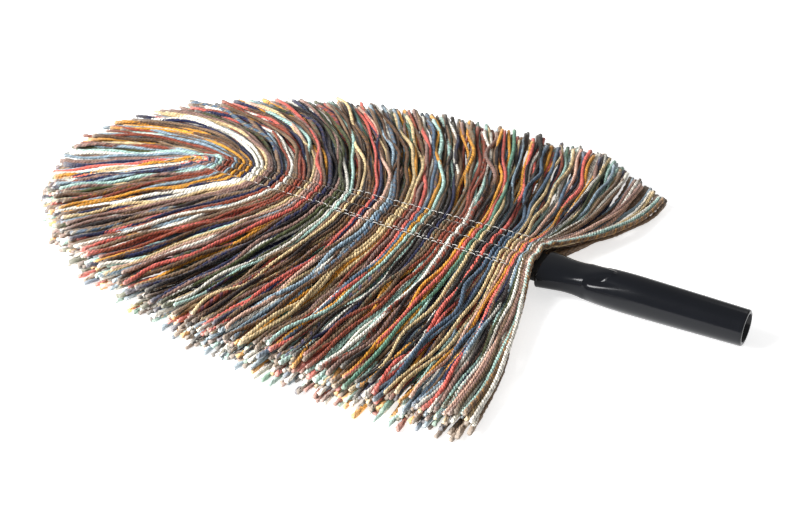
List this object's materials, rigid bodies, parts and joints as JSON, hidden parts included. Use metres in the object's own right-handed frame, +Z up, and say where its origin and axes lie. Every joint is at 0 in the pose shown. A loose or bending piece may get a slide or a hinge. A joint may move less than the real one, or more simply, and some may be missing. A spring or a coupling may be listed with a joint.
{
  "type": "wedge yarn duster head",
  "caption": "Shield-shaped duster head of mixed-colour looped yarn, sewn along a spine pocket over a sprung wire frame, with a black moulded pole socket.",
  "frame": {"origin": "on the floor, under the middle of the whole length and width", "axes": "+X along the spine towards the pole, +Y across the head, +Z up"},
  "size_m": [0.67, 0.422, 0.0352],
  "materials": {
    "mixed_yarn": "twisted wool yarn in many dyed colours, soft and slightly fuzzy",
    "sewing_thread": "off-white polyester thread",
    "backing_cloth": "plain woven cotton tape",
    "moulded_black": "semi-gloss moulded polypropylene",
    "plug_black": "matt textured plastic",
    "spring_steel": "drawn spring wire"
  },
  "bodies": {
    "handle": {"pole_socket": "moulded_black", "frame_plug": "plug_black", "wire_frame": "spring_steel"},
    "head": {"upper_hank_1": "mixed_yarn", "upper_hank_2": "mixed_yarn", "upper_hank_3": "mixed_yarn", "upper_hank_4": "mixed_yarn", "upper_hank_5": "mixed_yarn", "upper_hank_6": "mixed_yarn", "upper_hank_7": "mixed_yarn", "upper_nose_hank": "mixed_yarn", "lower_hank_1": "mixed_yarn", "lower_hank_2": "mixed_yarn", "lower_hank_3": "mixed_yarn", "lower_hank_4": "mixed_yarn", "lower_hank_5": "mixed_yarn", "lower_nose_hank": "mixed_yarn", "upper_backing": "backing_cloth", "lower_backing": "backing_cloth", "seam_centre": "sewing_thread", "seam_left": "sewing_thread", "seam_right": "sewing_thread", "seam_left_outer": "sewing_thread", "seam_right_outer": "sewing_thread"}
  },
  "joints": [
    {"name": "head_slide", "type": "slide", "parent": "handle", "child": "head", "axis": [-1, 0, 0], "range_m": [0, 0.36]}
  ]
}
